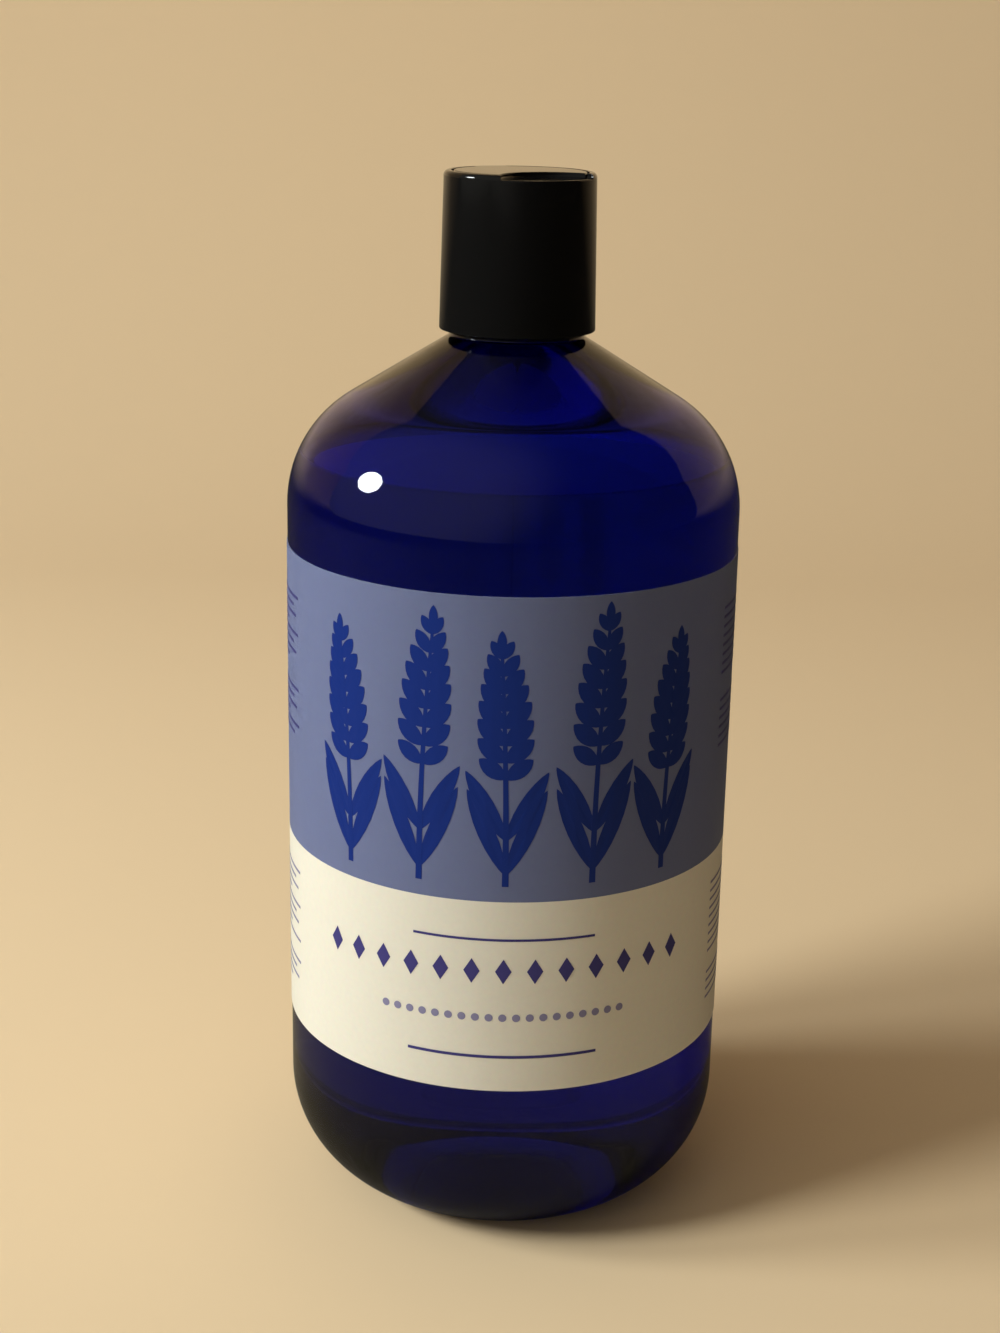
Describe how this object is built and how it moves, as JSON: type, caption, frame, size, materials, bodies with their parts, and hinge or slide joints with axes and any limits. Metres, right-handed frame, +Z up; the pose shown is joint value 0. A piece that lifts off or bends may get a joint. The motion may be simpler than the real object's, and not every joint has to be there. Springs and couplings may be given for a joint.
{
  "type": "hand soap refill bottle",
  "caption": "Round see-through bottle of liquid hand soap with a wraparound label and a screw cap whose top disc tilts to pour.",
  "frame": {"origin": "centre of the base, on the surface that the bottle stands on", "axes": "+Z up along the bottle's axis, -Y out of the middle of the label"},
  "size_m": [0.0912, 0.0911, 0.2124],
  "materials": {
    "cobalt_plastic": "gloss, see-through",
    "soap": "clear liquid",
    "label_film": "satin print film",
    "black_plastic": "gloss",
    "seal_foam": "matte foam"
  },
  "bodies": {
    "bottle": {"bottle": "cobalt_plastic", "label": "label_film", "liquid_soap": "soap"},
    "seal": {"seal_ring": "seal_foam"},
    "cap": {"cap_body": "black_plastic"},
    "disc": {"press_disc": "black_plastic"}
  },
  "joints": [
    {"name": "cap_lift", "type": "slide", "parent": "bottle", "child": "seal", "axis": [0, 0, 1], "range_m": [0, 0.0064]},
    {"name": "cap_turn", "type": "hinge", "parent": "seal", "child": "cap", "pos_m": [0, 0, 0.1821], "axis": [0, 0, 1], "range_deg": [0, 540]},
    {"name": "disc_tilt", "type": "hinge", "parent": "cap", "child": "disc", "pos_m": [0.00094, -0.00177, 0.21024], "axis": [0.8829, 0.4695, 0], "range_deg": [0, 20]}
  ],
  "couplings": [
    {"joint": "cap_lift", "follows": "cap_turn", "m_per_rad": 0.0006737}
  ]
}
